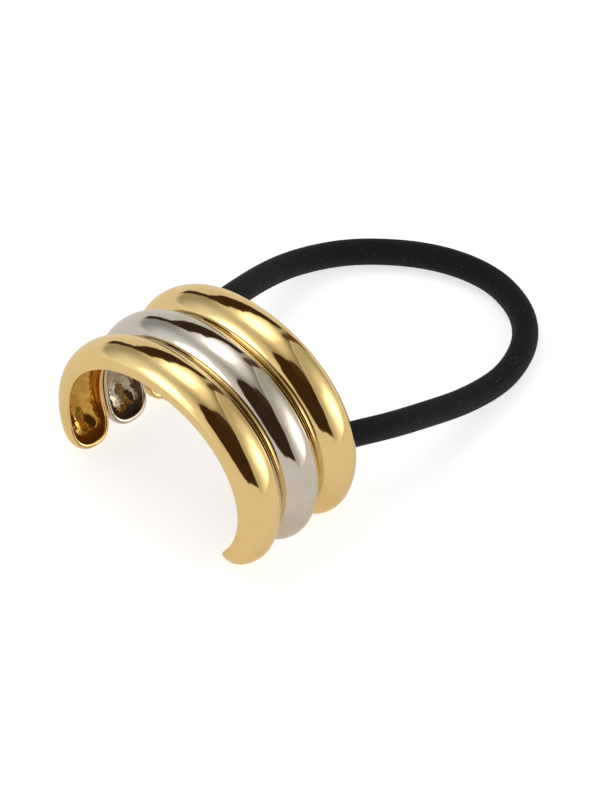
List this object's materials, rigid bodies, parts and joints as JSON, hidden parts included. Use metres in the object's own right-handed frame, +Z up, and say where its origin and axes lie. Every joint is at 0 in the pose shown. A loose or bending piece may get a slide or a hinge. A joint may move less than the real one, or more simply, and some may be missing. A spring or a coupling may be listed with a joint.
{
  "type": "ponytail cuff",
  "caption": "Arched ponytail cuff of half-round hollow bands side by side in gold and silver finish, open below, with a black elastic loop behind.",
  "frame": {"origin": "on the surface that the tips stand on, midway between the tips and under the middle band's centre", "axes": "+X across the arch from tip to tip, +Y from the front band towards the elastic loop, +Z up through the crown"},
  "size_m": [0.0427, 0.0748, 0.0276],
  "materials": {
    "gold_plate": "polished pale gold plating",
    "silver_plate": "polished silver-coloured plating",
    "elastic_cover": "knitted cover over round elastic, matte"
  },
  "bodies": {
    "root": {"front_band": "gold_plate", "middle_band": "silver_plate", "back_band": "gold_plate", "crown_bar": "gold_plate", "left_socket": "gold_plate", "right_socket": "gold_plate", "elastic_loop": "elastic_cover"}
  },
  "joints": []
}
